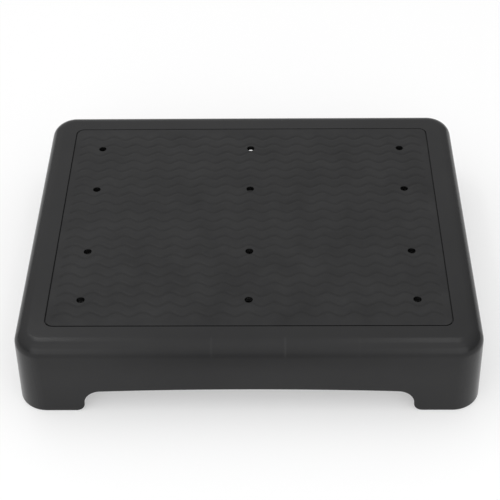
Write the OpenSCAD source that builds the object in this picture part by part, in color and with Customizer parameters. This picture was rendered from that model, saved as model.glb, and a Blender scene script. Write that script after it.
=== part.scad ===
// A low step: one ribbed moulding, open underneath, with a rubber tread mat let into its top and
// four screwed-on rubber feet inside its corner legs. All sizes are in millimetres.
// The origin is on the floor under the middle of the step. +X runs along the step's long side,
// +Y points to its back and +Z is up.

/* [Platform] */
// Length over the walls at their lower edge, side to side
base_l = 520; // [440:1:600]
// Width over the walls at their lower edge, front to back
base_w = 422; // [360:1:500]
// Height of the tread above the floor
step_h = 100; // [90:1:120]
// Lean of the walls from upright, in degrees
draft = 2; // [1:0.5:3]
// Thickness of the walls and of the deck
wall = 3; // [2.5:0.1:3.5]
// Radius of the round between the walls and the top
edge_r = 17; // [12:0.5:20]
// Plan radius of the corners at the lower edge
corner_r = 33; // [30:1:45]

/* [Openings between the legs] */
// Width of each corner leg along the long sides
leg_l = 76; // [66:1:96]
// Width of each corner leg along the short sides
leg_w = 76; // [66:1:96]
// Height of the front opening above the floor at its middle
front_h = 34.7; // [30:0.1:44]
// Height of the back opening above the floor at its middle
back_h = 47; // [34:0.1:52]
// Height of the side openings above the floor at their middle
side_h = 34.7; // [30:0.1:44]
// Rise of each opening's arched top from its ends to its middle
arch_rise = 4.2; // [2:0.1:8]
// Radius where an opening's top turns down into a leg
arch_corner_r = 12; // [6:0.5:14]
// Radius on the lower end of each leg beside an opening
toe_r = 10; // [5:0.5:12]

/* [Tread mat] */
// Flat rim between the top round and the recess of the mat
rim = 16; // [8:0.5:30]
// Plan radius of the recess's corners
recess_r = 10; // [6:0.5:16]
// Thickness of the mat, which is also the depth of its recess
mat_t = 2.5; // [2:0.1:4]
// Gap between the mat and the recess all round
mat_gap = 1; // [0.5:0.1:1.5]

/* [Drain holes] */
// Diameter of the drain holes
drain_d = 8; // [5:0.5:12]
// Distance from the recess's short sides to the outer columns of holes
drain_end = 36.6; // [25:0.1:60]
// Distance from the recess's long sides to the outer rows of holes
drain_side = 40.6; // [25:0.1:50]
// Distance between the two middle rows of holes
drain_mid = 111.2; // [70:0.1:130]

/* [Ribs under the deck] */
// Thickness of the ribs
rib_t = 2; // [1.5:0.1:3]
// Depth of the ribs below the deck
rib_depth = 18; // [10:1:24]
// Spacing of the ribs, which run front to back
rib_pitch = 80; // [60:1:90]

/* [Feet] */
// Diameter of the rubber feet
foot_d = 32; // [26:1:40]
// Thickness of the rubber feet
foot_t = 12; // [10:0.5:14]
// How far the feet stand proud of the walls' lower edge
foot_proud = 1; // [0.5:0.1:3]
// Distance from the walls' lower edge to the middle of each foot
foot_inset = 38; // [34:0.5:42]
// Radius on the lower edge of the feet
foot_edge_r = 2; // [1:0.5:3]
// Diameter of the screw bosses
boss_d = 11; // [9:0.5:14]
// Reach of each boss's buttresses under the deck
buttress = 22; // [14:1:28]

/* [Foot screws] */
// Diameter of the screw's shank
screw_d = 3.5; // [3:0.1:4.2]
// Length of the screw under its head
screw_l = 24; // [18:1:30]
// Diameter of the screw's head
head_d = 8; // [6.5:0.1:9]
// Height of the screw's head
head_t = 2.8; // [2:0.1:3.4]
// Diameter of the washer
washer_d = 11; // [10:0.5:13]
// Thickness of the washer
washer_t = 1; // [0.6:0.1:1.5]
// Rubber left between the washer and the boss
foot_web = 4; // [3:0.1:5]
// Gap around the shank in the foot and the washer, and around the washer in its counterbore
screw_gap = 0.5; // [0.3:0.1:0.8]
// Gap around the shank in the boss, on the radius
pilot_gap = 0.05; // [0.03:0.01:0.1]

/* [Hidden] */
$fn = 96;

// Sides on the very large circle of an arched opening, which keep it smooth
arch_fn = 1440;
// How far a cutting shape runs past the face it cuts
over = 1;
// How far a round bites into the line or arc that it runs out into
bite = 0.001;

charcoal = [0.16, 0.16, 0.165];
mat_black = [0.13, 0.13, 0.13];
foot_black = [0.07, 0.07, 0.07];
zinc = [0.74, 0.75, 0.77];

front_left = [-1, -1];
front_right = [1, -1];
back_left = [-1, 1];
back_right = [1, 1];
corners = [back_right, back_left, front_left, front_right];

// Level of the walls' lower edge, and of the middle of the top round
wall_z = foot_proud;
round_z = step_h - edge_r;
// Middle of the top round, out from the upright axis of a corner
round_x = corner_r - (round_z - wall_z) * tan(draft) - edge_r / cos(draft);
// Distance from the middle of the step to the corners' upright axes
axis_x = base_l / 2 - corner_r;
axis_y = base_w / 2 - corner_r;

recess_l = 2 * (axis_x + round_x - rim);
recess_w = 2 * (axis_y + round_x - rim);
recess_z = step_h - mat_t;
deck_z = recess_z - wall;

drain_x = recess_l / 2 - drain_end;
drain_y = recess_w / 2 - drain_side;
drain_columns = [-drain_x, 0, drain_x];
drain_rows = [-drain_y, -drain_mid / 2, drain_mid / 2, drain_y];

rib_z = deck_z - rib_depth;
// As many ribs on each side of the middle as stand under the mat
rib_pairs = floor(recess_l / 2 / rib_pitch + 0.5);

foot_x = base_l / 2 - foot_inset;
foot_y = base_w / 2 - foot_inset;
// Level of the washer's lower face, where the screw's head bears
head_z = foot_t - foot_web - washer_t;
pilot_l = screw_l - foot_web - washer_t + 2 * over;

// The region within the outer skin less a depth t, from the level low up, on a plane through a
// corner's upright axis: a leaning wall, then the top round, then the flat top. The round keeps
// one centre at every depth.
module section(t, low) {
    r = edge_r - t;
    low_x = corner_r - t / cos(draft) - (low - wall_z) * tan(draft);
    high_x = round_x + (r - bite) * cos(draft);
    high_z = round_z + (r - bite) * sin(draft);
    polygon([[0, low], [low_x, low], [high_x, high_z], [round_x, step_h - t], [0, step_h - t]]);
    translate([round_x, round_z]) intersection() {
        circle(r);
        translate([0, -r]) square([r, 2 * r]);
    }
}

// One straight run of a section, facing +X
module run(length) {
    rotate([90, 0, 0]) linear_extrude(length, center = true) children();
}

// Carries a section all round the step: four straight runs and four quarter turns
module swept() {
    for (turn = [0, 180]) {
        rotate(turn) translate([axis_x, 0, 0]) run(2 * axis_y) children();
        rotate(turn + 90) translate([axis_y, 0, 0]) run(2 * axis_x) children();
    }
    for (i = [0:3])
        translate([corners[i].x * axis_x, corners[i].y * axis_y, 0])
            rotate(90 * i) rotate_extrude(angle = 90) children();
}

// The block between the corners' upright axes
module middle(low, high) {
    translate([-axis_x, -axis_y, low]) cube([2 * axis_x, 2 * axis_y, high - low]);
}

module quarter_disc(r) {
    intersection() {
        circle(r);
        square(r);
    }
}

// A flat plate with round corners, centred, with its lower face at the level low
module plate(length, width, r, low, t) {
    translate([0, 0, low]) linear_extrude(t) {
        square([length - 2 * r, width], center = true);
        for (turn = [0, 180]) rotate(turn) {
            translate([length / 2 - r, r - width / 2]) square([r, width - 2 * r]);
            translate([length / 2 - r, width / 2 - r]) quarter_disc(r);
            translate([length / 2 - r, r - width / 2]) rotate(-90) quarter_disc(r);
        }
    }
}

// The outline of an opening that leaves a gap between two legs and arches up to the level h.
// The round in each upper corner bites into the arch by a hair.
module arch(gap, h) {
    half = gap / 2;
    big_r = round((half * half + arch_rise * arch_rise) / (2 * arch_rise));
    inner_r = big_r - arch_corner_r;
    corner_x = half - arch_corner_r;
    corner_z = h - big_r + sqrt(pow(inner_r + bite, 2) - corner_x * corner_x);
    meet_x = corner_x * big_r / inner_r;
    intersection() {
        translate([0, h - big_r]) circle(big_r, $fn = arch_fn);
        translate([-meet_x, -over]) square([2 * meet_x, h + 2 * over]);
    }
    for (side = [0, 1]) mirror([side, 0]) {
        translate([corner_x, corner_z]) circle(arch_corner_r);
        translate([0, -over]) square([half, corner_z + over]);
        translate([0, -over]) square([half + toe_r, wall_z + over]);
        translate([0, wall_z]) difference() {
            square([half + toe_r, toe_r]);
            translate([half + toe_r, toe_r]) circle(toe_r);
        }
    }
}

// Cuts an opening through one wall: turn 0 is the front wall, at the distance reach
module opening(turn, reach, gap, h) {
    depth = wall + step_h * tan(draft) + over;
    rotate(turn) translate([0, depth - reach, 0]) rotate([90, 0, 0])
        linear_extrude(depth + over) arch(gap, h);
}

// A screw boss for one foot, with gussets out to the walls and buttresses in under the deck.
// It stands at the corner at +X and +Y, and reaches past the deck and the walls.
module foot_boss() {
    tall = step_h - foot_t;
    translate([foot_x, foot_y, foot_t]) {
        cylinder(d = boss_d, h = tall);
        translate([0, -rib_t / 2, 0]) cube([foot_inset, rib_t, tall]);
        translate([-rib_t / 2, 0, 0]) cube([rib_t, foot_inset, tall]);
        for (turn = [180, 270])
            rotate(turn) rotate([90, 0, 0]) linear_extrude(rib_t, center = true)
                polygon([[0, 0], [buttress, deck_z - foot_t], [buttress, tall], [0, tall]]);
    }
}

// The ribs under the deck, which reach past the deck and the walls
module ribs() {
    for (i = [0:rib_pairs - 1])
        for (side = [-1, 1])
            translate([side * (i + 0.5) * rib_pitch - rib_t / 2, -base_w / 2, rib_z])
                cube([rib_t, base_w, step_h - rib_z]);
}

module drain_holes() {
    for (x = drain_columns)
        for (y = drain_rows)
            translate([x, y, rib_z - over]) cylinder(d = drain_d, h = step_h - rib_z + 2 * over);
}

// Turns what stands at the corner at +X and +Y to another corner
module at_corner(corner) {
    mirror([corner.x < 0 ? 1 : 0, 0, 0]) mirror([0, corner.y < 0 ? 1 : 0, 0]) children();
}

module step_body() {
    color(charcoal) difference() {
        union() {
            swept() difference() {
                section(0, wall_z);
                section(wall, -over);
            }
            middle(step_h - wall, step_h);
            plate(recess_l + 2 * wall, recess_w + 2 * wall, recess_r + wall, deck_z, wall + mat_t - wall / 2);
            intersection() {
                union() {
                    swept() section(wall / 2, wall_z);
                    middle(wall_z, step_h - wall / 2);
                }
                union() {
                    ribs();
                    for (corner = corners) at_corner(corner) foot_boss();
                }
            }
        }
        plate(recess_l, recess_w, recess_r, recess_z, mat_t + over);
        drain_holes();
        opening(0, base_w / 2, base_l - 2 * leg_l, front_h);
        opening(180, base_w / 2, base_l - 2 * leg_l, back_h);
        for (turn = [90, 270]) opening(turn, base_l / 2, base_w - 2 * leg_w, side_h);
        for (corner = corners)
            at_corner(corner) translate([foot_x, foot_y, foot_t - over])
                cylinder(r = screw_d / 2 + pilot_gap, h = pilot_l);
    }
}

module tread_mat() {
    color(mat_black) difference() {
        plate(recess_l - 2 * mat_gap, recess_w - 2 * mat_gap, recess_r - mat_gap, recess_z, mat_t);
        drain_holes();
    }
}

// A round rubber foot with a counterbore from below for its washer and screw
module foot(corner) {
    r = foot_d / 2;
    color(foot_black) at_corner(corner) translate([foot_x, foot_y, 0]) difference() {
        rotate_extrude() {
            square([r - foot_edge_r, foot_t]);
            translate([r - foot_edge_r, foot_edge_r]) square([foot_edge_r, foot_t - foot_edge_r]);
            translate([r - foot_edge_r, foot_edge_r]) rotate(-90) quarter_disc(foot_edge_r);
        }
        translate([0, 0, -over]) cylinder(r = washer_d / 2 + screw_gap, h = foot_t - foot_web + over);
        cylinder(r = screw_d / 2 + screw_gap, h = foot_t + over);
    }
}

module washer(corner) {
    color(zinc) at_corner(corner) translate([foot_x, foot_y, head_z]) difference() {
        cylinder(d = washer_d, h = washer_t);
        translate([0, 0, -over]) cylinder(r = screw_d / 2 + screw_gap, h = washer_t + 2 * over);
    }
}

// A pan head screw, head down
module screw(corner) {
    r = head_d / 2;
    color(zinc) at_corner(corner) translate([foot_x, foot_y, head_z]) {
        rotate_extrude() {
            translate([0, -head_t]) square([r - head_t / 2, head_t]);
            translate([r - head_t / 2, -head_t / 2]) square([head_t / 2, head_t / 2]);
            translate([r - head_t / 2, -head_t / 2]) rotate(-90) quarter_disc(head_t / 2);
        }
        cylinder(d = screw_d, h = screw_l);
    }
}

step_body();
tread_mat();
foot(front_left);  // foot_front_left
foot(front_right);  // foot_front_right
foot(back_left);  // foot_back_left
foot(back_right);  // foot_back_right
washer(front_left);  // washer_front_left
washer(front_right);  // washer_front_right
washer(back_left);  // washer_back_left
washer(back_right);  // washer_back_right
screw(front_left);  // screw_front_left
screw(front_right);  // screw_front_right
screw(back_left);  // screw_back_left
screw(back_right);  // screw_back_right
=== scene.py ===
# %% [markdown]
# # A low plastic step with a rubber tread mat
# The step is a single black moulding, open underneath, that stands on four rubber feet. A rubber
# mat with a wave tread lies in a recess in its top, and twelve drain holes go through both. The
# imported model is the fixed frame: it says where every piece is. This lesson builds the pieces
# that are seen, each one a smooth mesh with its own finish, in the places that the frame gives.

# %% Load the frame
import math
from functools import cached_property

import bmesh
import bpy
import numpy as np
from mathutils import Matrix, Vector


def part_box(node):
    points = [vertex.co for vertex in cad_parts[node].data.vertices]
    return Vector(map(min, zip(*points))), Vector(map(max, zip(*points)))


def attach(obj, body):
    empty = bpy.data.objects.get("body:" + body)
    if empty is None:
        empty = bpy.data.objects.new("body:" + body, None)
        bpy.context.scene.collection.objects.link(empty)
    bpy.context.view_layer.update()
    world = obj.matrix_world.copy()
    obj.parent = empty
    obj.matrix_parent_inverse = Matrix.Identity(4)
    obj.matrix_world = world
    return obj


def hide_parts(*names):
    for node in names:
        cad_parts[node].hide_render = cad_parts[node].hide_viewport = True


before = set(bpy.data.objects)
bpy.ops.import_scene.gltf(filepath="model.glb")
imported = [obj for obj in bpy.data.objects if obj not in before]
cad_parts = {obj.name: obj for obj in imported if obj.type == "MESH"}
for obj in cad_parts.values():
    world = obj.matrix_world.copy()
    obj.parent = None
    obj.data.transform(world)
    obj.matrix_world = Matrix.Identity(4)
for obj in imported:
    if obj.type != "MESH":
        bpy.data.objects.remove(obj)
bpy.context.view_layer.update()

# %% [markdown]
# ## Sizes
# A maker's drawing gives sizes in millimetres, and Blender works in metres, so a mesh is worked
# out in millimetres and scaled once, when it is made. The outer sizes could be typed in again,
# but then they could drift from the frame, so they are read from it. The rest are the drawing's
# own: how thick the wall is, how far it leans, how round it is.

# %% Read the sizes of the step from the frame
MM = 0.001


def box_mm(node):
    """The lowest and highest corners of a node of the frame, in millimetres."""
    return [np.array(corner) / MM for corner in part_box(node)]


def middle_of(node):
    """The middle of a node in plan, in millimetres."""
    low, high = box_mm(node)
    return (low + high)[:2] / 2


body_low, body_high = box_mm("step_body")
mat_low, mat_high = box_mm("tread_mat")
length, width = (body_high - body_low)[:2]
wall_z, top_z = body_low[2], body_high[2]
mat_l, mat_w = (mat_high - mat_low)[:2]
print(f"step {length:.1f} x {width:.1f} x {top_z:.1f} mm, mat {mat_l:.2f} x {mat_w:.2f} mm")

# %% Name the sizes of the moulding
DRAFT = math.radians(2)  # lean of the walls, so that the moulding leaves its mould
WALL = 3.0  # thickness of the walls and of the deck
EDGE_R = 17.0  # round between the walls and the top
CORNER_R = 33.0  # plan radius of the corners at the lower edge
RECESS_R = 10.0  # plan radius of the recess's corners
MAT_GAP = 1.0  # gap round the mat
LIP_R = 0.6  # the small round that every moulded edge has

round_z = top_z - EDGE_R
round_x = CORNER_R - (round_z - wall_z) * math.tan(DRAFT) - EDGE_R / math.cos(DRAFT)
axis = np.array([length / 2 - CORNER_R, width / 2 - CORNER_R])
recess_z = mat_low[2]
deck_z = recess_z - WALL
recess = np.array([mat_l, mat_w]) / 2 + MAT_GAP - RECESS_R
print(f"flat top to {axis[0] + round_x:.2f} mm from the middle, deck at {deck_z:.1f} mm")

# %% [markdown]
# ## Helpers for meshes
# Most of the shapes here are rings of points joined by four-sided faces. One helper joins rings
# into a closed skin, one turns a profile about an upright line, and one adds or cuts one solid
# with another. Bevel and Solidify modifiers could round and hollow a plain box, but they can't
# keep a wall even where an arched edge crosses a leaning face, and rings can. The cutting uses
# Blender's manifold solver, which is quick and keeps a mesh closed.


# %% Make closed meshes from rings
def make_object(name, points, faces):
    """An object in the scene from points in millimetres, with its faces turned outwards."""
    mesh = bpy.data.meshes.new(name)
    mesh.from_pydata((np.asarray(points) * MM).tolist(), [], faces)
    work = bmesh.new()
    work.from_mesh(mesh)
    bmesh.ops.recalc_face_normals(work, faces=work.faces)
    work.to_mesh(mesh)
    work.free()
    thing = bpy.data.objects.new(name, mesh)
    bpy.context.scene.collection.objects.link(thing)
    return thing


def skin_of(rings):
    """Points and faces of a closed skin: rings of equal length joined in turn, both ends shut."""
    count = len(rings[0])
    faces = []
    for start in range(0, (len(rings) - 1) * count, count):
        for i in range(count):
            j = (i + 1) % count
            faces.append((start + i, start + j, start + count + j, start + count + i))
    last = (len(rings) - 1) * count
    faces.append(tuple(range(count)))
    faces.append(tuple(range(last, last + count)))
    return np.vstack(rings), faces


# %% Turn a profile about an upright line
def turned(name, profile, centre, segments=64):
    """A solid of revolution. The profile is (radius, level) points from end to end of the axis."""
    angles = np.linspace(0, 2 * np.pi, segments, endpoint=False)
    rings = [
        np.column_stack(
            [centre[0] + r * np.cos(angles), centre[1] + r * np.sin(angles), np.full(segments, z)]
        )
        for r, z in profile
    ]
    return make_object(name, *skin_of(rings))


def arc(centre, radius, start, end, steps):
    """Points on a circle from one angle to another, in degrees, both ends included."""
    angles = np.radians(np.linspace(start, end, steps + 1))
    return [(centre[0] + radius * math.cos(a), centre[1] + radius * math.sin(a)) for a in angles]


# %% Join and cut solids
def combine(solid, tool, operation):
    """Adds the tool to the solid (UNION), or cuts it (DIFFERENCE, INTERSECT), and uses it up."""
    cut = solid.modifiers.new("combine", "BOOLEAN")
    cut.operation, cut.object, cut.solver = operation, tool, "MANIFOLD"
    made = bpy.data.meshes.new_from_object(
        solid.evaluated_get(bpy.context.evaluated_depsgraph_get())
    )
    solid.modifiers.clear()
    before = len(solid.data.polygons)
    solid.data = made
    bpy.data.objects.remove(tool)
    print(f"{solid.name}: {operation.lower()}, {before} faces became {len(made.polygons)}")


def gathered(name, parts):
    """Several separate solids as one object."""
    points, faces = [], []
    for part in parts:
        start = len(points)
        points += [tuple(np.array(v.co) / MM) for v in part.data.vertices]
        faces += [tuple(start + i for i in p.vertices) for p in part.data.polygons]
        bpy.data.objects.remove(part)
    return make_object(name, points, faces)


def shade(thing, sharp_degrees=35):
    """Smooth shading that keeps edges sharper than this angle, led by the large faces."""
    thing.data.shade_smooth()
    thing.data.set_sharp_from_angle(angle=math.radians(sharp_degrees))
    even = thing.modifiers.new("even normals", "WEIGHTED_NORMAL")
    even.keep_sharp = True


# %% [markdown]
# ## Stations round the walls
# The moulding is one skin that runs from the recess over the rim, down the round and the wall,
# under the wall's lower edge, up the inside and in under the deck. Rings of points follow it all
# the way round the step. Each place in a ring is a station: it has a direction outwards, and a
# spot on the lower edge of its wall, which is straight under a leg and arched between two legs.
# The openings could be cut out later, but a cut leaves a sharp edge, and a moulded edge is round.

# %% Name the sizes of the lower edge
TOE_R = 10.0  # round on the lower end of a leg
ARCH_RISE = 4.2  # how far an opening's top rises from its ends to its middle
ARCH_CORNER_R = 19.5  # round where an opening's top turns down into a leg
LEG = 76.0  # width of a leg
OVER_LEG = (30, 16, 9, -12)  # how far over the leg the toe, side, corner and arch start on top
FOOT_STEPS, TOE_STEPS, ARCH_CORNER_STEPS, CORNER_STEPS = 8, 10, 11, 28
SIDE_STEP, ARCH_STEP = 4.0, 4.6  # spacing of the points up a leg's side and along an arch


# %% Draw the lower edge of one wall
def bend(centre, radius, angles, facing):
    """Points on a round of the edge. Facing is 1 if the wall lies outside the round, or else -1."""
    turns = [(math.cos(a), math.sin(a)) for a in angles]
    return [
        (radius * s + centre[0], radius * z + centre[1], facing * s, facing * z) for s, z in turns
    ]


def lower_edge(run, gap, height):
    """Points on a wall's lower edge from one end of its straight run to the other.

    Each row holds the place along the wall, the level, the direction into the wall, and the place
    along the top round that the point's column rises to. Columns lean away from the opening, so
    none of them crosses it."""
    half = gap / 2
    big_r = round((half**2 + ARCH_RISE**2) / (2 * ARCH_RISE))
    corner_s = half - ARCH_CORNER_R
    drop = math.sqrt((big_r - ARCH_CORNER_R) ** 2 - corner_s**2)
    corner_z = height - big_r + drop
    toe_z = wall_z + TOE_R
    meet = math.atan2(drop, -corner_s)
    foot = [(s, wall_z, 0, 1) for s in np.linspace(-run, -half - TOE_R, FOOT_STEPS + 1)[:-1]]
    toe = bend((-half - TOE_R, toe_z), TOE_R, np.linspace(-np.pi / 2, 0, TOE_STEPS + 1), -1)
    levels = np.linspace(toe_z, corner_z, 3 + round((corner_z - toe_z) / SIDE_STEP))
    side = [(-half, z, -1, 0) for z in levels[1:-1]]
    angles = np.linspace(np.pi, meet, ARCH_CORNER_STEPS + 1)
    corner = bend((-corner_s, corner_z), ARCH_CORNER_R, angles, 1)
    angles = np.linspace(meet, np.pi - meet, round(gap / ARCH_STEP) + 1)
    arch = np.array(bend((0, height - big_r), big_r, angles[1:-1], 1))

    starts = np.cumsum([0, len(foot), len(toe), len(side), len(corner) - 1])
    over_leg = -half - np.array([run - half, *OVER_LEG])
    left_top = np.interp(np.arange(starts[-1] + 1), starts, over_leg)
    left = np.column_stack([foot + toe + side + corner, left_top])
    arch = np.column_stack([arch, arch[:, 0] * over_leg[-1] / left[-1, 0]])
    right = left[::-1] * [-1, 1, -1, 1, -1]
    return np.vstack([left, arch, right])


# %% Place the stations
FRONT_H, BACK_H, SIDE_H = 34.7, 47.0, 34.7  # heights of the openings at their middle

walls = [  # outward direction, half of the straight run, gap between the legs, opening's height
    ((1, 0), axis[1], width - 2 * LEG, SIDE_H),
    ((0, 1), axis[0], length - 2 * LEG, BACK_H),
    ((-1, 0), axis[1], width - 2 * LEG, SIDE_H),
    ((0, -1), axis[0], length - 2 * LEG, FRONT_H),
]
stations = []
for quarter, (out, run, gap, height) in enumerate(walls):
    edge = lower_edge(run, gap, height)
    stations += [(*out, -out[1], out[0], *out, *row) for row in edge]
    next_corner = (out[0] - out[1], out[1] + out[0])
    for i in range(1, CORNER_STEPS):
        a = np.pi / 2 * (quarter + i / CORNER_STEPS)
        stations.append((math.cos(a), math.sin(a), 0, 0, *next_corner, 0, wall_z, 0, 1, 0))
stations = np.array(stations, float)
outward, tangent, centre = stations[:, 0:2], stations[:, 2:4], stations[:, 4:6]
edge_s, edge_z, into_s, into_z, top_s = stations[:, 6:].T
print(len(stations), "stations round the step")

# %% [markdown]
# ## The skin's rings
# A ring needs three things at each station: how far along the wall, how far out, and how high.
# On the leaning walls the way out follows from the level, so a ring may rise and fall with an
# arched opening and still lie exactly on the wall. The rings could be spread evenly, but flat
# walls need few and rounds need many, so they gather where the skin turns.


# %% Put a ring round the step
def ring(reach, level, s=None, block=axis):
    """A ring at a reach out from the sides of a middle block. A value may vary by station."""
    s = top_s if s is None else s
    scale = (np.abs(tangent) @ block) / np.maximum(np.abs(tangent) @ axis, 1)
    xy = centre * block + tangent * (s * scale)[:, None]
    xy = xy + outward * np.broadcast_to(reach, len(stations))[:, None]
    return np.column_stack([xy, np.broadcast_to(level, len(stations))])


def wall_reach(level):
    """How far out the outside of a wall is at a level."""
    return CORNER_R - (level - wall_z) * math.tan(DRAFT)


def edge_ring(up, deep):
    """A ring near the lower edge: up into the wall's face from it, and deep into its thickness."""
    level = edge_z + into_z * up
    return ring(wall_reach(level) - deep, level, edge_s + into_s * up)


def wall_rings(inset, shares):
    """Rings up a wall's face, set in from its outside, from its lower edge (0) to its top (1)."""
    top = round_z + EDGE_R * math.sin(DRAFT)
    rings = []
    for share in shares:
        level = (edge_z + into_z * LIP_R) * (1 - share) + top * share
        s = (edge_s + into_s * LIP_R) * (1 - share) + top_s * share
        rings.append(ring(wall_reach(level) - inset, level, s))
    return rings


def round_rings(inset, steps):
    """Rings over the top round, from the wall to the flat top."""
    profile = arc((round_x, round_z), EDGE_R - inset, math.degrees(DRAFT), 90, steps)
    return [ring(x, z) for x, z in profile]


# %% Name the rings from the recess to the underside of the deck
OUTER_STEPS, INNER_STEPS, LIP_STEPS = 26, 14, 5  # over the top round outside and inside, and a lip
UP_WALL = (0.02, 0.12, 0.4, 0.7, 0.96)  # shares of the way up a wall
CREASE = 0.3  # between the two rings beside a crease
INNERMOST = 7.0  # from the recess's side to the innermost ring

level_wall = WALL / math.cos(DRAFT)  # thickness of a leaning wall, measured level
last_r = RECESS_R - INNERMOST
floor_rings = [ring(r, recess_z, block=recess) for r in (last_r, RECESS_R - CREASE, RECESS_R)]
lip = arc((RECESS_R + LIP_R, top_z - LIP_R), LIP_R, 180, 90, LIP_STEPS)
lip_rings = [ring(x, z, block=recess) for x, z in lip]
rim_rings = [ring(RECESS_R + 2 * LIP_R, top_z, block=recess), ring(round_x - LIP_R, top_z)]
outside = round_rings(0, OUTER_STEPS)[::-1] + wall_rings(0, UP_WALL[::-1])
foot_arc = [
    (LIP_R * (1 - math.sin(a)), LIP_R * (1 - math.cos(a)))
    for a in np.linspace(0, np.pi / 2, LIP_STEPS + 1)
]
lower = [edge_ring(up, deep) for up, deep in foot_arc]
lower += [edge_ring(up, level_wall - deep) for up, deep in foot_arc[::-1]]
inside = wall_rings(level_wall, UP_WALL) + round_rings(WALL, INNER_STEPS)
pan_r = RECESS_R + WALL
under = [ring(r, top_z - WALL, block=recess) for r in (pan_r + CREASE, pan_r)]
under += [ring(r, deck_z, block=recess) for r in (pan_r, pan_r - CREASE, last_r)]
rings = floor_rings + lip_rings + rim_rings + outside + lower + inside + under
print(len(rings), "rings in the skin")

# %% Close the skin of the moulding
moulding = make_object("step_moulding", *skin_of(rings))
print(f"moulding without ribs: {len(moulding.data.polygons)} faces")

# %% [markdown]
# ## Ribs and screw bosses
# Under the deck the moulding has six ribs from front to back, and a boss in each leg for the
# screw that holds its foot. They could be drawn out of the deck's own faces, but they have to
# meet the round and the leaning walls exactly. So they are built as separate solids that reach a
# little too far, cut to the inside of the walls, and joined to the skin, as one pour of plastic
# joins them.

# %% Draw the ribs
RIB_T = 2.0  # thickness of a rib, a gusset or a buttress
RIB_DEPTH = 18.0  # how far a rib hangs below the deck
RIB_PITCH = 80.0  # from one rib to the next
RIB_PAIRS = 3  # ribs on each side of the middle
RIB_EDGE_R = 0.7  # round on the lower edge of a rib
rib_z = deck_z - RIB_DEPTH


def slab(name, outline, thickness, place):
    """A flat solid from (out, up) points. Place puts a point (out, across, up) in the step."""
    half = thickness / 2
    sides = [[place(x, t, z) for x, z in outline] for t in (-half, half)]
    return make_object(name, *skin_of([np.array(side) for side in sides]))


def rib(x):
    """One rib with a rounded lower edge, across the whole step."""
    left, right = x - RIB_T / 2, x + RIB_T / 2
    low = rib_z + RIB_EDGE_R
    outline = [(left, top_z)]
    outline += arc((left + RIB_EDGE_R, low), RIB_EDGE_R, 180, 270, LIP_STEPS)
    outline += arc((right - RIB_EDGE_R, low), RIB_EDGE_R, 270, 360, LIP_STEPS)
    return slab("rib", outline + [(right, top_z)], width, lambda u, t, z: (u, t, z))


ribs = gathered("ribs", [rib(RIB_PITCH * (i + 0.5)) for i in range(-RIB_PAIRS, RIB_PAIRS)])
print(f"{2 * RIB_PAIRS} ribs, {RIB_DEPTH} mm deep, {RIB_PITCH} mm apart")

# %% Build a boss for each foot
FOOT_T = box_mm("foot_front_left")[1][2]
FOOT_INSET = 38.0  # from a wall's outside to the middle of a foot
BOSS_R = 5.5  # radius of a boss
BUTTRESS = 22.0  # reach of a boss's buttresses under the deck
CORNERS = {  # the side that each corner lies on, along the step and across it
    "front_left": (-1, -1),
    "front_right": (1, -1),
    "back_left": (-1, 1),
    "back_right": (1, 1),
}
boss_top = (recess_z + deck_z) / 2


def boss(corner):
    """A screw boss with gussets out to the walls and buttresses in under the deck."""
    x, y = middle_of("foot_" + corner)
    out_x, out_y = CORNERS[corner]
    solid = turned("boss", [(BOSS_R, FOOT_T), (BOSS_R, boss_top)], (x, y))
    gusset = [(0, FOOT_T), (FOOT_INSET, FOOT_T), (FOOT_INSET, top_z), (0, top_z)]
    buttress = [(0, FOOT_T), (-BUTTRESS, deck_z), (-BUTTRESS, top_z), (0, top_z)]
    for outline in (gusset, buttress):
        along_x = slab("web", outline, RIB_T, lambda u, t, z: (x + out_x * u, y + t, z))
        along_y = slab("web", outline, RIB_T, lambda u, t, z: (x + t, y + out_y * u, z))
        combine(solid, along_x, "UNION")
        combine(solid, along_y, "UNION")
    return solid


bosses = gathered("bosses", [boss(corner) for corner in CORNERS])
print(f"{len(CORNERS)} bosses from {FOOT_T:.0f} mm up to {boss_top:.1f} mm")

# %% Cut the ribs and bosses to the inside and join them to the skin
OVER = 1.0  # how far a cutting tool reaches past what it cuts
core_in = WALL / 2
combine(ribs, bosses, "UNION")
core_rings = [ring(wall_reach(wall_z) - core_in / math.cos(DRAFT), wall_z)]
core_rings += round_rings(core_in, INNER_STEPS)
combine(ribs, make_object("core", *skin_of(core_rings)), "INTERSECT")
pan = [ring(RECESS_R, z, block=recess) for z in (boss_top, top_z + OVER)]
combine(ribs, make_object("pan", *skin_of(pan)), "DIFFERENCE")
combine(moulding, ribs, "UNION")

# %% Drill the drain holes and the pilots
DRAIN_R = 4.0  # radius of a drain hole
DRAIN_END, DRAIN_SIDE = 36.6, 40.6  # from the recess's ends and sides to the outer holes
DRAIN_MID = 111.2  # between the two middle rows
PILOT_R = 1.8  # radius of the hole that a foot's screw goes into
PILOT_TOP = 32.0  # level of its blind end
drain_x, drain_y = recess + RECESS_R - [DRAIN_END, DRAIN_SIDE]
drain_rows = (-drain_y, -DRAIN_MID / 2, DRAIN_MID / 2, drain_y)
drains = [(x, y) for x in (-drain_x, 0, drain_x) for y in drain_rows]
drill = [(DRAIN_R, deck_z - OVER), (DRAIN_R, top_z)]
drills = [turned("drill", drill, spot) for spot in drains]
drill = [(PILOT_R, FOOT_T - OVER), (PILOT_R, PILOT_TOP)]
drills += [turned("pilot", drill, middle_of("foot_" + corner)) for corner in CORNERS]
combine(moulding, gathered("drills", drills), "DIFFERENCE")
shade(moulding)

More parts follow.
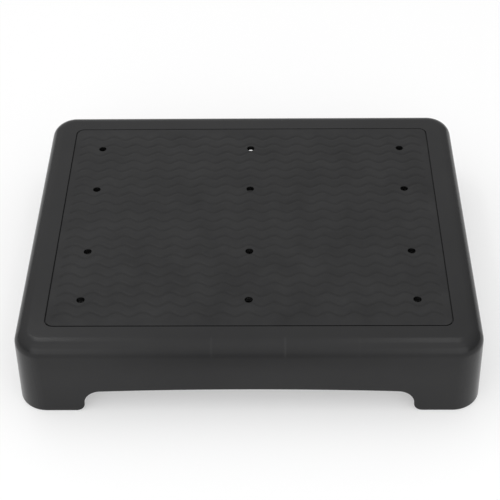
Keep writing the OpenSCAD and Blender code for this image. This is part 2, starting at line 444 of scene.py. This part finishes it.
# %% [markdown]
# ## The tread mat
# The mat is a rubber sheet with shallow grooves that wave from side to side. A bump in the
# material would vanish at a glancing look, so the grooves are cut in the mesh: rows of points
# gather at each groove, and all the rows swing to and fro together. The sheet is then trimmed to
# its rounded outline with a tool that also leaves a small round along the edge, and punched with
# holes that widen towards the top, as soft rubber does round a punch.

# %% Name the sizes of the tread
WAVE_PITCH = 15.61  # from one groove to the next
WAVE_SHIFT = -0.8  # place of the middle groove
WAVE_SWING = 3.14  # how far a groove swings each way
WAVE_LENGTH = 29.13  # from one crest to the next
WAVE_PHASE = -0.11  # how far the waves are along at the middle, in radians
WAVES = 10  # grooves on each side of the middle one
GROOVE_W = 8.0
GROOVE_DEEP = 0.45
TREAD_END = 216.5  # how far the grooves reach to each side
TREAD_FADE = 3.0  # the length over which a groove runs out at its end
ACROSS_GROOVE = (0, 0.12, 0.24, 0.36, 0.5, 0.72)  # rows beside a groove's middle, in its widths
COLUMN = 1.9  # spacing of the columns of points
TRIM = 2.0  # how far the sheet reaches past the mat until it is trimmed
EDGE_ROW = 1.0  # how far inside the mat's edge its last rows of points lie


def ease(t):
    """A smooth step from 0 to 1."""
    t = np.clip(t, 0, 1)
    return t * t * (3 - 2 * t)


# %% Lay out the rows and columns of the mat
half_l, half_w = mat_l / 2 + TRIM, mat_w / 2 + TRIM
beside = [side * GROOVE_W * share for share in ACROSS_GROOVE for side in (-1, 1)]
row_y = [WAVE_SHIFT + k * WAVE_PITCH + off for k in range(-WAVES, WAVES + 1) for off in beside]
row_y += [WAVE_SHIFT + (k + 0.5) * WAVE_PITCH for k in range(-WAVES - 1, WAVES + 1)]
row_y += [side * y for side in (-1, 1) for y in (half_w, mat_w / 2 - EDGE_ROW)]
row_y = np.unique(np.round([y for y in row_y if abs(y) <= half_w], 4))
column_x = np.linspace(-half_l, half_l, round(2 * half_l / COLUMN))
grid_x, grid_y = np.meshgrid(column_x, row_y)
print(f"{len(row_y)} rows x {len(column_x)} columns of points")

# %% Cut the grooves and swing the rows
nearest = np.clip(np.round((grid_y - WAVE_SHIFT) / WAVE_PITCH), -WAVES, WAVES)
from_groove = np.abs(grid_y - (WAVE_SHIFT + WAVE_PITCH * nearest))
across_groove = np.clip(from_groove / (GROOVE_W / 2), 0, 1)
fade = ease((TREAD_END - np.abs(grid_x)) / TREAD_FADE)
depth = GROOVE_DEEP * (0.5 + 0.5 * np.cos(np.pi * across_groove)) * fade
last_groove = WAVES * WAVE_PITCH + GROOVE_W
swing = WAVE_SWING * ease((half_w - np.abs(grid_y)) / (half_w - last_groove))
waved_y = grid_y + swing * np.cos(2 * np.pi * grid_x / WAVE_LENGTH + WAVE_PHASE)
print(f"{2 * WAVES + 1} grooves, at most {depth.max():.2f} mm deep")


# %% Close the sheet
def sheet(name, top):
    """A closed slab under a grid of points, down to the floor of the recess."""
    rows, columns = top.shape[:2]
    base = top.copy()
    base[:, :, 2] = recess_z
    points = np.concatenate([top.reshape(-1, 3), base.reshape(-1, 3)])
    at = np.arange(rows * columns).reshape(rows, columns)
    faces = [
        (at[r, c], at[r, c + 1], at[r + 1, c + 1], at[r + 1, c])
        for r in range(rows - 1)
        for c in range(columns - 1)
    ]
    rim = [*at[0, :-1], *at[:-1, -1], *at[-1, :0:-1], *at[:0:-1, 0]]
    below = rows * columns
    for a, b in zip(rim, rim[1:] + rim[:1]):
        faces.append((a, b, b + below, a + below))
    faces.append(tuple(i + below for i in rim))
    used = np.unique(np.concatenate([np.array(f) for f in faces]))
    new = np.full(len(points), -1)
    new[used] = np.arange(len(used))
    return make_object(name, points[used], [tuple(int(new[i]) for i in f) for f in faces])


mat = sheet("tread_mat_waves", np.dstack([grid_x, waved_y, top_z - depth]))
print(f"sheet before the trim: {len(mat.data.polygons)} faces")

# %% Trim the sheet to the mat's outline
MAT_EDGE_R = 0.5  # round on the mat's upper edge
TOOL_TOP = 3.0  # how far inside the mat's edge the trimming tool's top starts
HAIR = 0.05  # how far above the mat it lies, so that no two faces share a plane
mat_r = RECESS_R - MAT_GAP
mat_block = np.array([mat_l, mat_w]) / 2 - mat_r
trim_profile = [(mat_r, recess_z - OVER)]
trim_profile += arc((mat_r - MAT_EDGE_R, top_z - MAT_EDGE_R), MAT_EDGE_R, 0, 90, LIP_STEPS)
trim_profile += [(mat_r - TOOL_TOP, top_z + HAIR)]
trim = [ring(r, z, block=mat_block) for r, z in trim_profile]
combine(mat, make_object("trim", *skin_of(trim)), "INTERSECT")

# %% Punch the drain holes in the mat
HOLE_FLARE = 0.6  # how much wider a hole's radius is at the top of the mat than in the deck
HOLE_EDGE_R = 0.2  # round on a hole's upper edge
HOLE_STRAIGHT = 0.4  # height of a hole's lowest part, which doesn't widen
SMALL_STEPS = 4  # points over a small round
mouth_r = DRAIN_R + HOLE_FLARE + HOLE_EDGE_R
punch = [(DRAIN_R, recess_z - OVER), (DRAIN_R, recess_z + HOLE_STRAIGHT)]
punch += arc((mouth_r, top_z - HOLE_EDGE_R), HOLE_EDGE_R, 180, 90, SMALL_STEPS)
punch += [(mouth_r, top_z + OVER)]
combine(mat, gathered("punches", [turned("punch", punch, spot) for spot in drains]), "DIFFERENCE")
shade(mat)

# %% [markdown]
# ## Feet, washers and screws
# Each foot is a rubber puck with a pocket underneath. A pan head screw and its washer hold it to
# the boss from below. All three could be cylinders with a Bevel modifier, but their rounds differ
# from edge to edge, so they are turned shapes: a profile swept once round, with the small rounds
# that catch the light. The screw's head also gets the cross that a driver fits, and its thread
# is drawn as rings and not as a helix, since it is out of sight inside the boss.

# %% Name the sizes of the feet and washers
SHANK_R = 1.75  # radius of a screw's shank
SCREW_GAP = 0.5  # room round a shank in its washer, and round a washer in its foot
WASHER_R = 5.5
WASHER_EDGE = 0.2  # chamfer on a washer
FOOT_WEB = 4.0  # rubber between the washer and the boss
FOOT_EDGE_R = 2.0  # round on the lower edge of a foot
FOOT_TOP_R = 0.8  # round on its upper edge
foot_low, foot_high = box_mm("foot_front_left")
foot_r = (foot_high[0] - foot_low[0]) / 2
bore_r = SHANK_R + SCREW_GAP
pocket_r = WASHER_R + SCREW_GAP
print(f"feet {2 * foot_r:.0f} mm across and {FOOT_T:.0f} mm high, washers {2 * WASHER_R:.0f} mm")


# %% Turn an outline once round
def revolved(name, outline, centre, segments=72):
    """A ring-shaped solid: a closed outline of (radius, level) points turned once round."""
    angles = np.linspace(0, 2 * np.pi, segments, endpoint=False)
    count = len(outline)
    points = [
        (centre[0] + r * math.cos(a), centre[1] + r * math.sin(a), z)
        for a in angles
        for r, z in outline
    ]
    faces = []
    for i in range(segments):
        j = (i + 1) % segments
        for k in range(count):
            m = (k + 1) % count
            faces.append((i * count + k, j * count + k, j * count + m, i * count + m))
    return make_object(name, points, faces)


# %% Build the feet and their washers
def foot_outline():
    """Half of a foot's section, from its bore through its pocket to its outside."""
    outline = [(bore_r, FOOT_T), (bore_r, FOOT_T - FOOT_WEB), (pocket_r, FOOT_T - FOOT_WEB)]
    outline += arc((pocket_r + LIP_R, LIP_R), LIP_R, 180, 270, SMALL_STEPS)
    outline += arc((foot_r - FOOT_EDGE_R, FOOT_EDGE_R), FOOT_EDGE_R, -90, 0, 2 * SMALL_STEPS)
    outline += arc((foot_r - FOOT_TOP_R, FOOT_T - FOOT_TOP_R), FOOT_TOP_R, 0, 90, SMALL_STEPS)
    return outline


def washer_outline(low_z, high_z):
    """Half of a washer's section, with its outer edges chamfered."""
    flat_r = WASHER_R - WASHER_EDGE
    outline = [(bore_r, low_z), (flat_r, low_z), (WASHER_R, low_z + WASHER_EDGE)]
    return outline + [(WASHER_R, high_z - WASHER_EDGE), (flat_r, high_z), (bore_r, high_z)]


pieces = {}
for corner in CORNERS:
    spot = middle_of("foot_" + corner)
    low, high = box_mm("washer_" + corner)
    pieces["foot_" + corner] = revolved("rubber_foot_" + corner, foot_outline(), spot)
    washer = washer_outline(low[2], high[2])
    pieces["washer_" + corner] = revolved("foot_washer_" + corner, washer, spot)
print(len(pieces), "feet and washers")

# %% Name the sizes of the screws
HEAD_R = 4.0
HEAD_ROUND = 1.4  # round on the face of the head
CROSS_W = 1.1  # width of the cross's arms
CROSS_REACH = 2.3  # how far an arm reaches from the middle at the face
CROSS_DEEP = 1.7  # depth of the cross below the face
CROSS_TAPER = 0.55  # size of the cross at its bottom, as a share of its size at the face
CROSS_TURNS = {"front_left": 11, "front_right": 64, "back_left": 37, "back_right": 82}  # degrees
TURNS_PER_MM = 0.55  # threads in a millimetre of shank
THREAD_DEEP = 0.35
THREAD_FROM, THREAD_TO = 1.0, 2.0  # plain shank past the foot's web, and before the end
TIP, TIP_R = 1.5, 0.3  # length and end of the screw's point


# %% Build the screws
def cross_tool(spot, face_z, degrees):
    """The solid that a driver's tip would fill: a tapered cross, turned by some degrees."""
    r, w = CROSS_REACH, CROSS_W / 2
    half_cross = [(r, w), (w, w), (w, r), (-w, r), (-w, w), (-r, w)]
    arms = np.array(half_cross + [(-x, -y) for x, y in half_cross])
    cos, sin = math.cos(math.radians(degrees)), math.sin(math.radians(degrees))
    arms = arms @ [[cos, sin], [-sin, cos]]
    levels = ((face_z - OVER / 2, 1.0), (face_z + CROSS_DEEP, CROSS_TAPER))
    cross = [np.array([(spot[0] + x * k, spot[1] + y * k, z) for x, y in arms]) for z, k in levels]
    return make_object("cross", *skin_of(cross))


def screw(corner):
    """A pan head screw with a cross in its head and a thread on its shank."""
    low, high = box_mm("screw_" + corner)
    spot = middle_of("screw_" + corner)
    bearing = box_mm("washer_" + corner)[0][2]
    profile = arc((HEAD_R - HEAD_ROUND, low[2] + HEAD_ROUND), HEAD_ROUND, -90, 0, 6)
    profile += [(HEAD_R, bearing), (SHANK_R, bearing)]
    from_z, to_z = bearing + FOOT_WEB + THREAD_FROM, high[2] - THREAD_TO
    thread_z = np.arange(from_z, to_z, 0.5 / TURNS_PER_MM)
    profile += [(SHANK_R - THREAD_DEEP * (i % 2), z) for i, z in enumerate(thread_z)]
    profile += [(SHANK_R, high[2] - TIP), (TIP_R, high[2])]
    solid = turned("pan_screw_" + corner, profile, spot, 48)
    combine(solid, cross_tool(spot, low[2], CROSS_TURNS[corner]), "DIFFERENCE")
    return solid


for corner in CORNERS:
    pieces["screw_" + corner] = screw(corner)
for piece in pieces.values():
    shade(piece, sharp_degrees=40)
print(len(pieces), "small pieces")

# %% [markdown]
# ## Shader maths in plain Python
# A finish is a tree of small nodes. They could be added and linked one by one, but written as
# Python expressions the tree reads like the maths it is: a signal is one output of a node, and
# adding or multiplying signals adds the node for it. Numbers use Math nodes, while colours and
# vectors use Vector Math, which keeps all three parts.


# %% Wrap a node's output in arithmetic
class Signal:
    """One output of a shader node, with Python's arithmetic."""

    def __init__(self, finish, socket):
        self.finish, self.socket = finish, socket

    def join(self, operation, first, second):
        """The node for one operation: Vector Math if either side has three parts, or else Math."""
        if has_parts(first) or has_parts(second):
            kind = "ShaderNodeVectorMath"
            first, second = (
                v if isinstance(v, (Signal, tuple)) else grey(v) for v in (first, second)
            )
        else:
            kind = "ShaderNodeMath"
        return self.finish.add(kind, {"operation": operation}, {0: first, 1: second})

    def __add__(self, other):
        return self.join("ADD", self, other)

    def __sub__(self, other):
        return self.join("SUBTRACT", self, other)

    def __mul__(self, other):
        return self.join("MULTIPLY", self, other)

    def __radd__(self, other):
        return self.join("ADD", other, self)

    def __rsub__(self, other):
        return self.join("SUBTRACT", other, self)

    def __rmul__(self, other):
        return self.join("MULTIPLY", other, self)

    def apply(self, operation, *numbers):
        """A Math node with one input from this signal, such as ABSOLUTE or PINGPONG."""
        sockets = {0: self, **{i + 1: n for i, n in enumerate(numbers)}}
        return self.finish.add("ShaderNodeMath", {"operation": operation}, sockets)


def has_parts(value):
    """Whether a value is a colour or a vector and not one number."""
    if isinstance(value, Signal):
        return value.socket.type in ("RGBA", "VECTOR")
    return isinstance(value, tuple)


def grey(value):
    """One number as a colour or a vector."""
    return (value, value, value)


# %% Gather a finish's nodes
class Finish:
    """The node tree of a material or of the sky. add() is the one way that a node comes into it."""

    def __init__(self, owner):
        owner.use_nodes = True
        self.owner, self.tree = owner, owner.node_tree
        self.tree.nodes.clear()

    def add(self, kind, settings=None, sockets=None, out=0):
        """A node of a kind, with its settings made first, then its sockets' values or links."""
        node = self.tree.nodes.new(kind)
        for name, value in (settings or {}).items():
            if name == "stops":
                ramp = node.color_ramp.elements
                while len(ramp) < len(value):
                    ramp.new(0.5)
                for stop, (at, brightness) in zip(ramp, value):
                    stop.position, stop.color = at, (*grey(brightness), 1)
            else:
                setattr(node, name, value)
        for key, value in (sockets or {}).items():
            if isinstance(value, Signal):
                self.tree.links.new(value.socket, node.inputs[key])
            else:
                node.inputs[key].default_value = value
        return Signal(self, node.outputs[out])

    @cached_property
    def place(self):
        """Where a point of the surface is in the frame, in millimetres."""
        return self.add("ShaderNodeTexCoord", out="Object") * (1 / MM)

    def parts(self, vector):
        """The three parts of a vector."""
        separate = self.add("ShaderNodeSeparateXYZ", sockets={0: vector}).socket.node
        return [Signal(self, part) for part in separate.outputs]

    def rise(self, value, low, high, curve="LINEAR"):
        """0 up to where a value is low, 1 from where it is high, and a slope between."""
        settings = {"clamp": True, "interpolation_type": curve}
        return self.add("ShaderNodeMapRange", settings, {0: value, 1: low, 2: high})

    def mix(self, share, first, second):
        """A colour between two others, by a share from 0 to 1."""
        first, second = (c if isinstance(c, Signal) else (*c, 1) for c in (first, second))
        sockets = {0: share, 6: first, 7: second}
        return self.add("ShaderNodeMix", {"data_type": "RGBA"}, sockets, out=2)

    def noise(self, size, detail=2.0, roughness=0.5):
        """Soft noise whose blobs are about size millimetres across, from 0 to 1."""
        sockets = {"Vector": self.place, "Scale": 1 / size}
        sockets |= {"Detail": detail, "Roughness": roughness}
        return self.add("ShaderNodeTexNoise", {"normalize": True}, sockets)

    def bump(self, height):
        """A normal from a height in millimetres."""
        sockets = {"Strength": 1.0, "Distance": MM, "Height": height}
        return self.add("ShaderNodeBump", sockets=sockets, out="Normal")

    def surface(self, **sockets):
        """Ends the tree in a Principled surface with these values or links."""
        named = {
            name.replace("_", " ").title().replace("Ior", "IOR"): value
            for name, value in sockets.items()
        }
        shader = self.add("ShaderNodeBsdfPrincipled", sockets=named)
        return self.end("ShaderNodeOutputMaterial", shader)

    def end(self, kind, shader):
        """Joins the last shader to an output node of a kind."""
        self.tree.links.new(shader.socket, self.tree.nodes.new(kind).inputs["Surface"])
        return self.owner


# %% [markdown]
# ## Finishes
# The moulding is black polypropylene from a finely spark-eroded mould: satin, with a grain much
# finer than a millimetre, a little uneven in sheen, and with faint sink lines where the ribs
# meet the front and back rounds: each is a shallow dent, with a highlight painted along it as a
# lighter colour. The mat and feet are matt rubber, clouded by dust and wear, and the screws are
# zinc plated. Inside the drain holes the moulding is rougher, and both blacks are painted black
# there as shade; the mat's grooves have painted shade as well. Each finish could be one flat
# colour, but only a grain, a cloud and an uneven sheen make black read as plastic, rubber or metal.


# %% Name the finishes' values
BLACK = grey(0.0)
SPECULAR = 0.25  # how strongly the plastic and the rubber mirror
GRAIN, MOTTLE = 1.5, 120.0  # size of the moulding's grain and of its uneven sheen, in millimetres
GRAIN_HIGH, MOTTLE_HIGH, SINK_DEEP = 0.04, 0.3, 0.03  # heights in millimetres
SATIN, SATIN_MOTTLE, BORE_DULL = 0.2, 0.06, 0.7  # roughness, and what the mottle and bores add
SATIN_DARK, SATIN_LIGHT = (0.0095, 0.0095, 0.01), (0.0185, 0.0185, 0.019)
# the lighter colour painted along the sink lines: a painted highlight
SINK_HIGHLIGHT = (0.022, 0.022, 0.0225)
SINK_HALF_W = 1.1  # half the width of a sink line
SINK_AT, SINK_SPREAD = 25.0, 80.0  # where the sink lines are strongest, and how far they spread
SINK_FROM = 14.0  # how far past the corners' axis they start, towards the front and the back
SINK_LOW, SINK_HIGH = -1.0, 5.0  # where they come in, from the lower end of the top round
BORE_SHORT = 0.1  # how far short of the deck's faces the dull part of a bore, painted black as shade, stops
RUBBER_GRAIN, RUBBER_CLOUD = 0.35, 45.0  # sizes in millimetres
RUBBER_GRAIN_HIGH, CLOUD_DULL = 0.02, 0.08  # the grain's height, and what the cloud's sheen adds
PIT_FROM, PIT_TO = 0.5, 0.8  # how far below the top a hole's wall is painted black as shade
MAT_DARK, MAT_LIGHT = (0.0068, 0.0068, 0.0073), (0.0201, 0.0201, 0.0206)
FOOT_DARK, FOOT_LIGHT = grey(0.012), grey(0.017)
ZINC_CLOUD = 1.2  # size in millimetres
ZINC_DARK, ZINC_LIGHT = (0.55, 0.56, 0.58), (0.68, 0.68, 0.67)
ZINC_SATIN, ZINC_DULL = 0.28, 0.14  # roughness, and what the cloud adds


# %% Mix the moulding's satin black
def satin_moulding():
    """Satin black plastic, with sink lines on the rounds that carry a painted highlight, and dull
    bores painted black as shade.
    """
    f = Finish(bpy.data.materials.new("satin_black_moulding"))
    grain = f.noise(GRAIN)
    mottle = f.noise(MOTTLE, detail=4, roughness=0.6)
    x, y, z = f.parts(f.place)
    off_rib = RIB_PITCH / 2 - x.apply("PINGPONG", RIB_PITCH / 2)
    line = (off_rib * off_rib * (-1 / SINK_HALF_W**2)).apply("EXPONENT")
    on_round = (y.apply("ABSOLUTE") - (axis[1] + SINK_FROM)).apply("GREATER_THAN", 0.0)
    above_wall = f.rise(z, round_z + SINK_LOW, round_z + SINK_HIGH)
    off_middle = (x - SINK_AT) * (1 / SINK_SPREAD)
    # Along each sink line the bump makes a shallow dent, and the colour is painted lighter as a
    # highlight.
    sink_and_highlight = line * on_round * above_wall * (off_middle * off_middle * -1).apply("EXPONENT")

    within = x.apply("ABSOLUTE").apply("LESS_THAN", recess[0])
    within = within * y.apply("ABSOLUTE").apply("LESS_THAN", recess[1])
    off_deck = (z - (deck_z + recess_z) / 2).apply("ABSOLUTE")
    # The walls of the drain holes through the deck are made rougher and painted black as shade.
    bore_dull_and_shaded = within * off_deck.apply("LESS_THAN", WALL / 2 - BORE_SHORT)

    colour = f.mix(mottle, SATIN_DARK, SATIN_LIGHT)
    colour = f.mix(bore_dull_and_shaded, f.mix(sink_and_highlight, colour, SINK_HIGHLIGHT), BLACK)
    rough = SATIN + mottle * SATIN_MOTTLE + bore_dull_and_shaded * BORE_DULL
    normal = f.bump(grain * GRAIN_HIGH + mottle * MOTTLE_HIGH - sink_and_highlight * SINK_DEEP)
    return f.surface(base_color=colour, roughness=rough, normal=normal, specular_ior_level=SPECULAR)


# %% Mix the rubbers and the zinc
def matt_rubber(name, dark, light, roughness, groove=0.0, pit=0.0):
    """Cloudy rubber, with shade painted darker into the grooves by the share groove, and black
    below them by the share pit.
    """
    f = Finish(bpy.data.materials.new(name))
    cloud = f.rise(f.noise(RUBBER_CLOUD, detail=4, roughness=0.65), low=0.2, high=0.8)
    z = f.parts(f.place)[2]
    # Shade is painted into the grooves, and black shade below them, on the walls of the holes and
    # the mat's edge.
    painted_groove_shade = f.rise(z, top_z, top_z - GROOVE_DEEP)
    painted_pit_shade = f.rise(z, top_z - PIT_FROM, top_z - PIT_TO)
    colour = f.mix(painted_groove_shade * groove, f.mix(cloud, dark, light), BLACK)
    colour = f.mix(painted_pit_shade * pit, colour, BLACK)
    rough = roughness + cloud * CLOUD_DULL
    normal = f.bump(f.noise(RUBBER_GRAIN) * RUBBER_GRAIN_HIGH)
    return f.surface(base_color=colour, roughness=rough, normal=normal, specular_ior_level=SPECULAR)


def zinc_plate():
    """Zinc-plated steel, with the faint cloud of the bath."""
    f = Finish(bpy.data.materials.new("zinc_plate"))
    cloud = f.noise(ZINC_CLOUD, detail=3, roughness=0.7)
    colour = f.mix(cloud, ZINC_DARK, ZINC_LIGHT)
    rough = ZINC_SATIN + cloud * ZINC_DULL
    return f.surface(base_color=colour, metallic=1.0, roughness=rough)


finishes = {
    "moulding": satin_moulding(),
    "mat": matt_rubber("matt_black_mat", MAT_DARK, MAT_LIGHT, 0.4, groove=0.32, pit=1.0),
    "foot": matt_rubber("matt_black_foot", FOOT_DARK, FOOT_LIGHT, 0.6),
    "steel": zinc_plate(),
}
print("finishes:", ", ".join(m.name for m in finishes.values()))

# %% [markdown]
# ## Put the pieces in the frame
# Each piece takes the place of its node in the frame, rides on the one body that the step has,
# and names the slot that its finish comes from. The frame's own solids could carry the
# finishes, but they lack the grooves, the small rounds and the threads, so each is replaced.


# %% Seat every piece
def seat(piece, node, slot_name):
    """The piece stands for a node, moves with the step and takes the slot's finish."""
    piece.data.materials.clear()
    piece.data.materials.append(finishes[slot_name])
    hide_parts(node)
    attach(piece, "root")


seat(moulding, "step_body", "moulding")
seat(mat, "tread_mat", "mat")
for node, piece in pieces.items():
    seat(piece, node, "foot" if node.startswith("foot") else "steel")
print(f"{2 + len(pieces)} pieces ride on the step's one body")

# %% [markdown]
# ## The floor
# The step stands on a plain pale floor. An evenly lit white sheet would do for a solid object,
# but this one is hollow and has holes: the floor under it shows through them. So the floor
# glows a little of its own, which keeps the shadow round the step soft, and has a dark shadow
# painted under the step, with a soft edge inside its outline, so that the holes look dark. Its
# reflection is painted too: in a reflection it darkens further out from the walls, which shades
# the lower part of the front round.

# %% Name the floor's values
FLOOR_HALF = 6.0  # metres
PALE, PALE_PAINTED_REFLECTION, PALE_PAINTED_SHADOW = 0.56, 0.3, 0.1  # its colour: open, far off in a painted reflection, and in the painted shadow under the step
SHINE, SHINE_PAINTED_REFLECTION = 0.4, 0.21  # its own glow: open, and far off in a painted reflection
FALL_FROM, FALL_TO = 67.0, 76.0  # where its painted reflection darkens, out from the walls
END_FROM, END_TO = 60.0, 240.0  # the stretch along the step over which that changes to its ends
END_NEARER, END_WEAKER = 5.0, 0.65  # how much nearer it starts at the ends, and how much weaker
LIT_IN = 38.0  # how far in under the front the floor stays lit, before the painted shadow
PAINTED_SHADOW_IN, PAINTED_SHADOW_OUT = -38.0, 2.0  # the soft edge of the shadow painted under the step, from its outline

# %% Lay the floor
floor_mesh = bpy.data.meshes.new("studio_floor")
signs = ((-1, -1), (1, -1), (1, 1), (-1, 1))
floor_mesh.from_pydata([(a * FLOOR_HALF, b * FLOOR_HALF, 0) for a, b in signs], [], [range(4)])
studio_floor = bpy.data.objects.new("studio_floor", floor_mesh)
bpy.context.scene.collection.objects.link(studio_floor)


def pale_floor():
    """A pale floor that glows a little, with a shadow painted under the step and a painted
    reflection that darkens far off.
    """
    f = Finish(bpy.data.materials.new("pale_floor"))
    x, y, _ = f.parts(f.place)
    off_ends = x.apply("ABSOLUTE") - length / 2
    off_walls = off_ends.apply("MAXIMUM", y.apply("ABSOLUTE") - width / 2)
    end = f.rise(x.apply("ABSOLUTE"), END_FROM, END_TO)
    # For glossy rays only, the floor's colour and glow are painted darker further out: a painted
    # reflection.
    painted_reflection_dark = f.rise(off_walls + end * END_NEARER, FALL_FROM, FALL_TO) * (1 - end * END_WEAKER)
    painted_reflection_dark = painted_reflection_dark * f.add("ShaderNodeLightPath", out="Is Glossy Ray")
    off_outline = off_ends.apply("MAXIMUM", y - width / 2)
    off_outline = off_outline.apply("MAXIMUM", -1 * y - (width / 2 - LIT_IN))
    # Under the step a dark shadow with no glow is painted on the floor, fading out at a soft edge.
    floor_outside_painted_shadow = f.rise(off_outline, PAINTED_SHADOW_IN, PAINTED_SHADOW_OUT, "SMOOTHSTEP")
    colour = f.mix(floor_outside_painted_shadow, grey(PALE_PAINTED_SHADOW), f.mix(painted_reflection_dark, grey(PALE), grey(PALE_PAINTED_REFLECTION)))
    light = f.mix(floor_outside_painted_shadow, BLACK, f.mix(painted_reflection_dark, grey(SHINE), grey(SHINE_PAINTED_REFLECTION)))
    return f.surface(base_color=colour, roughness=0.9, emission_color=light, emission_strength=1.0)


floor_mesh.materials.append(pale_floor())
print(f"floor {2 * FLOOR_HALF:.0f} m square")

# %% [markdown]
# ## Light and camera
# The light is that of a bright, even studio: a pale sky that is brightest overhead, a little
# brighter from the front, and dim along the horizon at the sides and to the right. A panorama
# of a real studio could light it, but a few shades by height and side do, and change easily.
# Two strip lamps above draw the streaks along the side rims, two soft boxes in front light the
# ends of the front wall, and two above them put the sheen on the ends of the front round.

# %% Shade the sky
SKY = [  # height of a direction (-1 straight down, 1 straight up) and its brightness
    (-1.0, 0.6), (0.0, 0.74), (0.3, 0.84), (0.6, 0.98), (0.84, 1.15), (0.97, 1.25)
]
SLANT = 0.2  # how much brighter the front of the sky is than the back
LEAN = 0.35  # how fast it darkens to the right
LEAN_LEFT = -0.1  # as far to the left as it still grows brighter
DUSK = 0.6  # how much darker the horizon is at the sides
BACKDROP = 0.95  # brightness of the plain backdrop behind the step


def studio_sky():
    """A pale sky, shaded by height and side. Behind the step it is a plain backdrop."""
    f = Finish(bpy.data.worlds.new("studio"))
    toward = f.add("ShaderNodeTexCoord", out="Generated")
    aside, back, up = f.parts(toward)
    horizon = (1 - up.apply("ABSOLUTE")).apply("POWER", 2.0)
    far_aside = (aside * aside * 2).apply("MINIMUM", 1.0)
    stops = [(0.5 + 0.5 * height, brightness) for height, brightness in SKY]
    glow = f.add("ShaderNodeValToRGB", {"stops": stops}, {0: up * 0.5 + 0.5})
    lean = 1 - aside.apply("MAXIMUM", LEAN_LEFT) * LEAN
    glow = glow * ((1 - back * SLANT) * lean * (1 - horizon * far_aside * DUSK))
    glow = f.mix(f.add("ShaderNodeLightPath", out="Is Camera Ray"), glow, grey(BACKDROP))
    return f.end("ShaderNodeOutputWorld", f.add("ShaderNodeBackground", sockets={"Color": glow}))


bpy.context.scene.world = studio_sky()
bpy.context.scene.view_settings.view_transform = "Standard"
print(f"sky from {SKY[0][1]} below to {SKY[-1][1]} overhead")

# %% Hang the lamps
LAMPS = {  # a place and a size (across, up or back) in metres, and a brightness
    "left_strip": ((-0.56, 0.42, 1.5), (0.1, 0.95), 5.0),
    "right_strip": ((0.4, 0.1, 1.5), (0.12, 1.0), 2.4),
    "left_front_box": ((-0.8, -1.5, 0.5), (0.9, 1.1), 0.9),
    "right_front_box": ((0.8, -1.5, 0.5), (1.0, 1.1), 0.9),
    "left_top_box": ((-0.76, -1.05, 1.2), (0.66, 1.1), 0.3),
    "right_top_box": ((0.7, -1.05, 1.2), (0.66, 1.1), 0.25),
}


def soft_lamp(name, place, size, brightness):
    """A rectangular lamp that faces the step."""
    lamp = bpy.data.lights.new(name, "AREA")
    lamp.shape = "RECTANGLE"
    lamp.size, lamp.size_y = size
    lamp.energy = brightness * math.pi * size[0] * size[1]
    stand = bpy.data.objects.new(name, lamp)
    away = Vector(place).normalized()
    sideways = (Vector((1, 0, 0)) - away * away.x).normalized()
    facing = Matrix((sideways, away.cross(sideways), away)).transposed().to_4x4()
    stand.matrix_world = Matrix.Translation(place) @ facing
    bpy.context.scene.collection.objects.link(stand)


for name, (place, size, brightness) in LAMPS.items():
    soft_lamp(name, place, size, brightness)
print(len(LAMPS), "lamps")

# %% Set up the camera
SENSOR, LENS = 36.0, 92.934  # the film's width and the focal length, in millimetres
CAMERA_AT = (23.58, -1146.48, 1120.32)  # in millimetres
PITCH, YAW, ROLL = (math.radians(a) for a in (43.032, -1.198, -0.984))  # down, aside and tilted

forward = np.array(
    [math.sin(YAW) * math.cos(PITCH), math.cos(YAW) * math.cos(PITCH), -math.sin(PITCH)]
)
level_right = np.array([math.cos(YAW), -math.sin(YAW), 0.0])
level_up = np.cross(level_right, forward)
right = math.cos(ROLL) * level_right + math.sin(ROLL) * level_up
up = math.cos(ROLL) * level_up - math.sin(ROLL) * level_right
camera_data = bpy.data.cameras.new("studio_camera")
camera_data.lens, camera_data.sensor_width = LENS, SENSOR
camera = bpy.data.objects.new("studio_camera", camera_data)
looking = Matrix(np.column_stack([right, up, -forward]).tolist()).to_4x4()
camera.matrix_world = Matrix.Translation(np.array(CAMERA_AT) * MM) @ looking
bpy.context.scene.collection.objects.link(camera)
bpy.context.scene.camera = camera
print(f"camera {np.linalg.norm(CAMERA_AT) * MM:.2f} m away, lens {LENS:.0f} mm")
